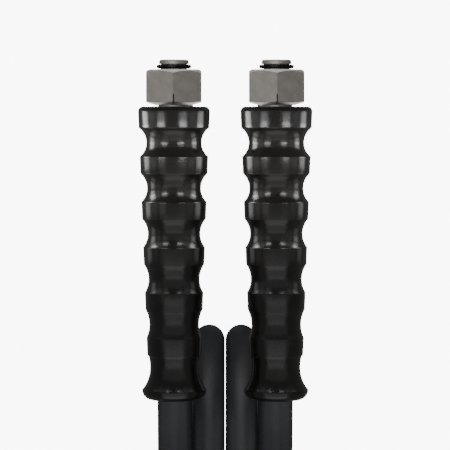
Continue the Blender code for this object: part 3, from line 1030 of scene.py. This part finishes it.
@dataclass
class Tie:
    """A woven strap round the whole hank, closed with its own end on top."""

    node: str
    y: float
    half_width: float
    low: float
    high: float
    corner: float = 8.75 * MM
    width: float = 20.0 * MM
    thickness: float = 1.7 * MM
    tab_long: float = 34.0 * MM
    tab_behind: float = 0.55
    tab_ahead: float = 0.45
    tab_round: float = 0.7
    stitch_inset: float = 2.4 * MM
    stitch_spacing: float = 2.6 * MM
    stitch_size: Point = (0.95 * MM, 0.3 * MM, 0.22 * MM)

    def _loop(self, out: float) -> list[tuple[float, float]]:
        """Points of the strap's path at a distance out from the hose.

        Args:
            out: The distance.

        Returns:
            (x, z) of each point.
        """
        radius = self.corner + out
        points = []
        for sign_x, sign_z, start in ((1, 1, 0), (-1, 1, 90), (-1, -1, 180), (1, -1, 270)):
            middle_x = sign_x * (self.half_width - self.corner)
            middle_z = self.high - self.corner if sign_z > 0 else self.low + self.corner
            for i in range(9):
                angle = math.radians(start + 90 * i / 8)
                x, z = middle_x + radius * math.cos(angle), middle_z + radius * math.sin(angle)
                points.append((x, z))
        return points

    def _section(self) -> list[tuple[float, float]]:
        """Rounded section of the strap, as (across, out)."""
        half, edge = self.width / 2, 0.5 * MM
        outer, inner = self.thickness, 0.0
        return [
            (-half, inner + edge), (-half + edge, inner), (half - edge, inner), (half, inner + edge),
            (half, outer - edge), (half - edge, outer), (-half + edge, outer), (-half, outer - edge),
        ]

    def build(self, webbing: bpy.types.Material, thread: bpy.types.Material) -> bpy.types.Object:
        """Makes the strap with its end and stitches.

        Args:
            webbing: The strap's material.
            thread: The stitches' material.

        Returns:
            The strap.
        """
        name = f"{self.node}_strap"
        rings = []
        paths = {out: self._loop(out) for _, out in self._section()}
        for i in range(len(self._loop(0.0))):
            rings.append([(paths[out][i][0], across, paths[out][i][1]) for across, out in self._section()])
        mesh = Workshop.skin(name, rings, 2 * self.width, closed=True)
        strap = Workshop.add(name, mesh, webbing, (0, self.y, 0))
        strap.data.set_sharp_from_angle(angle=math.radians(50))
        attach(strap, "hose")
        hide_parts(self.node)
        self._end(webbing)
        self._stitches(thread)
        return strap

    def _end(self, webbing: bpy.types.Material) -> None:
        """The strap's loose end, pressed on to its top."""
        name = f"{self.node}_end"
        half, reach = self.width / 2 - 0.6 * MM, self.tab_long
        round_x = half * self.tab_round
        far, near = -reach * self.tab_behind, reach * self.tab_ahead - round_x
        outline = [(far, -half), (near, -half)]
        for i in range(9):
            angle = math.radians(-90 + 180 * i / 8)
            outline.append((near + round_x * math.cos(angle), half * math.sin(angle)))
        outline += [(near, half), (far, half)]
        base = self.high + self.thickness + 0.05 * MM
        rings = []
        for inset, up in ((0.0, 0.0), (0.0, 0.9 * MM), (0.35 * MM, 1.2 * MM)):
            across, along = 1 - inset / reach, 1 - inset / half
            rings.append([(x * across, y * along, base + up) for x, y in outline])
        mesh = Workshop.skin(name, rings, 2 * self.width, capped=True)
        end = Workshop.add(name, mesh, webbing, (0, self.y, 0))
        end.data.set_sharp_from_angle(angle=math.radians(40))
        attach(end, "hose")

    def _stitches(self, thread: bpy.types.Material) -> None:
        """A box of stitches through the loose end's fixed part."""
        name = f"{self.node}_stitches"
        maker = bmesh.new()
        top = self.high + self.thickness + 1.25 * MM
        left, right = -self.tab_long * 0.5, -self.tab_long * 0.22
        half = self.width / 2 - self.stitch_inset
        runs = [((left, -half), (left, half)), ((right, -half), (right, half))]
        runs += [((left, -half), (right, -half)), ((left, half), (right, half))]
        for (x0, y0), (x1, y1) in runs:
            count = max(2, round(math.hypot(x1 - x0, y1 - y0) / self.stitch_spacing))
            for i in range(count):
                share = (i + 0.5) / count
                at = Matrix.Translation((x0 + (x1 - x0) * share, y0 + (y1 - y0) * share, top))
                turn = Matrix.Rotation(math.atan2(y1 - y0, x1 - x0), 4, "Z")
                size = Matrix.Diagonal((*self.stitch_size, 1.0))
                bmesh.ops.create_icosphere(maker, subdivisions=2, radius=1.0, matrix=at @ turn @ size)
        mesh = bpy.data.meshes.new(name)
        maker.to_mesh(mesh)
        maker.free()
        mesh.shade_smooth()
        stitches = Workshop.add(name, mesh, thread, (0, self.y, 0))
        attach(stitches, "hose")


@dataclass(frozen=True)
class Panel:
    """A soft rectangular light: its place, its width and length, how bright its face is, and its groups.

    lit names the group of objects that it lights, and shade the group that casts its shadows. An empty lit
    stands for everything, and an empty shade for the lit group.
    """

    name: str
    at: Point
    size: tuple[float, float]
    radiance: float
    lit: str = ""
    shade: str = ""


@dataclass
class Studio:
    """Camera, strip lights, panels and white floor."""

    metres_across: float = 0.22170
    middle_row_y: float = 159.6 * MM
    eye_y: float = 216.0 * MM
    eye_x: float = -0.1 * MM
    distance: float = 1.2
    subject_z: float = 141.0 * MM
    strip_angles: tuple[float, ...] = (-106.0, -73.0, -41.0, 31.0, 64.0, 97.0)
    strip_rows: tuple[tuple[float, float, tuple[float, ...]], ...] = (
        (212.5 * MM, 13.0 * MM, (10.0, 0.9, 3.0, 2.9, 0.8, 4.6)),
        (200.5 * MM, 7.5 * MM, (18.0, 0.9, 14.0, 14.0, 0.8, 13.0)),
        (188.5 * MM, 13.0 * MM, (5.6, 0.9, 1.0, 0.7, 0.8, 4.0)),
        (166.5 * MM, 19.0 * MM, (2.6, 0.5, 0.5, 0.1, 0.4, 2.0)),
        (144.0 * MM, 19.0 * MM, (0.9, 0.2, 0.0, 0.0, 0.2, 0.6)),
    )
    strip_width: float = 24.0 * MM
    strip_distance: float = 50.0 * MM
    room_radius: float = 20.0
    world_strength: float = 0.16
    middle_y: float = 0.1
    ends_y: float = 0.235
    hose_panels: tuple[Panel, ...] = (
        Panel("overhead", (-0.35, 0.1, 1.3), (1.0, 1.2), 2.2, "others"),
        Panel("over the hose", (-0.05, 0.1, 1.3), (1.3, 1.2), 1.1, "hose"),
        Panel("left of the hose", (-1.1, 0.0, 0.6), (1.4, 0.9), 0.6, "hose", "steel"),
        Panel("front", (-0.2, 1.0, 0.9), (1.0, 0.7), 1.6, "rest"),
        Panel("low", (0.0, -1.0, 0.55), (1.3, 0.6), 0.9),
        Panel("before the hose", (0.0, 1.1, 0.5), (1.4, 0.9), 1.0, "hose", "steel"),
        Panel("right of the hose", (1.1, 0.0, 0.6), (1.4, 0.9), 0.8, "hose", "steel"),
        Panel("over the grips", (0.0, 0.15, 1.05), (2.4, 0.9), 0.22, "grips"),
        Panel("behind the grips", (0.0, -0.45, 0.95), (1.6, 0.9), 0.55, "grips"),
    )
    steel_panels: tuple[Panel, ...] = (
        Panel("below the noses", (0.0, 0.20, -0.11), (0.30, 0.14), 3.0, "steel"),
        Panel("above the nuts", (0.0, 0.0, 0.5), (0.16, 0.30), 2.4, "steel"),
        Panel("behind the nuts", (0.0, -0.10, -0.17), (0.30, 0.10), 4.0, "steel"),
    )

    @staticmethod
    def _facing(eye: Vector, aim: Vector) -> Matrix:
        """The matrix of a thing that looks from eye to aim, with its top towards +Y."""
        back = (eye - aim).normalized()
        right = Vector((0.0, 1.0, 0.0)).cross(back).normalized()
        turn = Matrix((right, back.cross(right), back)).transposed()
        return Matrix.Translation(eye) @ turn.to_4x4()

    def camera(self) -> None:
        """Puts the camera above the nuts, tilted a little towards the hose."""
        data = bpy.data.cameras.new("camera")
        camera = bpy.data.objects.new("camera", data)
        eye = Vector((self.eye_x, self.eye_y, self.subject_z + self.distance))
        aim = Vector((self.eye_x, self.middle_row_y, self.subject_z))
        camera.matrix_world = self._facing(eye, aim)
        data.sensor_width = 36.0
        data.lens = 36.0 * (aim - eye).length / self.metres_across
        data.clip_start, data.clip_end = 0.02, 50.0
        bpy.context.scene.collection.objects.link(camera)
        bpy.context.scene.camera = camera

    def _panel(
        self,
        name: str,
        at: Vector,
        aim: Vector,
        size: tuple[float, float],
        radiance: float,
        lit: bpy.types.Collection | None = None,
        shade: bpy.types.Collection | None = None,
    ) -> None:
        """Adds a soft rectangular light.

        Args:
            name: Its name.
            at: Its place.
            aim: The point that it faces.
            size: Its width and length.
            radiance: How bright its face is.
            lit: The objects that it lights, or None for all of them.
            shade: The objects that cast its shadows, or None for those that it lights.
        """
        data = bpy.data.lights.new(name, "AREA")
        data.shape = "RECTANGLE"
        data.size, data.size_y = size
        data.energy = radiance * math.pi * size[0] * size[1]
        lamp = bpy.data.objects.new(name, data)
        lamp.matrix_world = self._facing(at, aim)
        lamp.visible_camera = False
        bpy.context.scene.collection.objects.link(lamp)
        if lit is not None:
            lamp.light_linking.receiver_collection = lit
            lamp.light_linking.blocker_collection = shade or lit

    @staticmethod
    def _chosen(name: str, things: Iterable[bpy.types.Object]) -> bpy.types.Collection:
        """Gathers the objects that some lights are kept to."""
        chosen = bpy.data.collections.new(name)
        for thing in things:
            chosen.objects.link(thing)
        return chosen

    def _strips(self, grip: bpy.types.Object, radius: float) -> None:
        """Lays rows of soft strips along the upper half of one grip, weaker from ring to ring.

        Args:
            grip: The grip.
            radius: Its collar's radius.
        """
        alone = self._chosen(f"{grip.name} alone", [grip])
        for row, (y, length, radiances) in enumerate(self.strip_rows):
            for i, (angle, radiance) in enumerate(zip(self.strip_angles, radiances)):
                turn, half = math.radians(angle), math.radians(angle / 2)
                shine = Vector((radius * math.sin(half), 0.0, radius * math.cos(half)))
                shine += Vector((grip.location.x, y, grip.location.z))
                at = shine + Vector((math.sin(turn), 0.0, math.cos(turn))) * self.strip_distance
                if radiance > 0:
                    size = (self.strip_width, length)
                    self._panel(f"{grip.name}_strip_{row}_{i}", at, shine, size, radiance, alone)

    def lights(self, grips: Sequence[bpy.types.Object], radius: float) -> None:
        """Sets the strips of both grips, the panels of each group, and a weak even light all round.

        Args:
            grips: The two grips.
            radius: Radius of their collars.
        """
        for grip in grips:
            self._strips(grip, radius)
        meshes = [thing for thing in bpy.context.scene.objects if thing.type == "MESH"]
        rest = [thing for thing in meshes if thing not in grips]
        groups = {
            "rest": rest,
            "others": [thing for thing in rest if thing.name != "hose"],
            "hose": [thing for thing in rest if thing.name == "hose"],
            "steel": [thing for thing in rest if thing.name.endswith(("_machined", "_turned"))],
            "grips": grips,
        }
        chosen = {name: self._chosen(name, things) for name, things in groups.items()}
        middle = Vector((0.0, self.middle_y, self.subject_z))
        ends = Vector((0.0, self.ends_y, self.subject_z))
        placed = [(panel, Vector(panel.at), middle) for panel in self.hose_panels]
        placed += [(panel, ends + Vector(panel.at), ends) for panel in self.steel_panels]
        for panel, at, aim in placed:
            lit, shade = chosen.get(panel.lit), chosen.get(panel.shade)
            self._panel(panel.name, at, aim, panel.size, panel.radiance, lit, shade)
        world = bpy.data.worlds.new("studio")
        world.use_nodes = True
        background = world.node_tree.nodes["Background"]
        background.inputs["Color"].default_value = (1.0, 1.0, 1.0, 1.0)
        background.inputs["Strength"].default_value = self.world_strength
        bpy.context.scene.world = world

    def floor(self, finish: bpy.types.Material) -> None:
        """Lays the white floor under the ties, and stands a white wall far round it.

        Args:
            finish: Its material.
        """
        maker = bmesh.new()
        bmesh.ops.create_grid(maker, x_segments=1, y_segments=1, size=self.room_radius)
        mesh = bpy.data.meshes.new("floor")
        maker.to_mesh(mesh)
        maker.free()
        board = Workshop.add("floor", mesh, finish, (0.0, 0.0, -0.2 * MM))
        reach = self.room_radius * 0.9
        levels = (-1.0, self.room_radius)
        rings = [[(reach * math.cos(a), reach * math.sin(a), z) for a in turns(64)] for z in levels]
        wall = Workshop.add("wall", Workshop.skin("wall", rings, 2 * math.pi * reach), finish)
        wall.visible_shadow = False
        for thing in (board, wall):
            thing.visible_glossy = False
            thing.visible_diffuse = False


def main() -> None:
    """Builds the studio, the hose and its two ends, and reports each piece."""
    logging.basicConfig(level=logging.INFO, format="%(message)s")
    studio = Studio()
    studio.camera()
    run = HoseRun()
    rubber = HoseRubber().material()
    hose = run.build(rubber)
    LOG.info("hose: %.3f m of centre line, %d points", run.length(), len(run.line))
    webbing, thread = TieWebbing().material(), StitchThread().material()
    inner = run.radius + TIE_SLACK
    for node, y, outermost, top in (
        ("front_tie", 0.0, run.outer_x, run.lead_z),
        ("back_tie", BACK_TIE_Y, run.lead_x, run.top_z),
    ):
        Tie(node, y, outermost + inner, TIE_LOW, top + inner).build(webbing, thread)
        LOG.info("%s: %.1f mm high inside", node, (top + inner - TIE_LOW) / MM)
    run.declare()
    steel = BlastedSteel().material()
    # scale: a darker steel for the notch's walls, which paints the shade inside the narrow notch.
    scale = BlastedSteel(
        name="dark scale in the notch", dark=(0.012, 0.011, 0.010), pale=(0.030, 0.027, 0.024), gloss=0.7
    ).material()
    grip_rubber, seal_rubber = GripRubber().material(), SealRubber().material()
    grips = []
    for side in Side:
        place = (side.value * run.outer_x, GRIP_MOUTH_Y, run.grip_z)
        grips.append(Grip(side, place).build(grip_rubber))
        fitting = Fitting(side, place)
        fitting.build_nipple(steel)
        fitting.build_seal(seal_rubber)
        fitting.build_nut(steel, scale)
        for node, finish in (("ferrule", steel), ("hose_end", rubber)):
            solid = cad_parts[f"{node}_{side.word}"]
            solid.data.materials.clear()
            solid.data.materials.append(finish)
        LOG.info("%s end: grip, nipple, seal and nut at %s", side.word, [round(v, 4) for v in place])
    studio.lights(grips, Grip.collar_radius)
    studio.floor(StudioFloor().material())


if __name__ == "__main__":
    main()
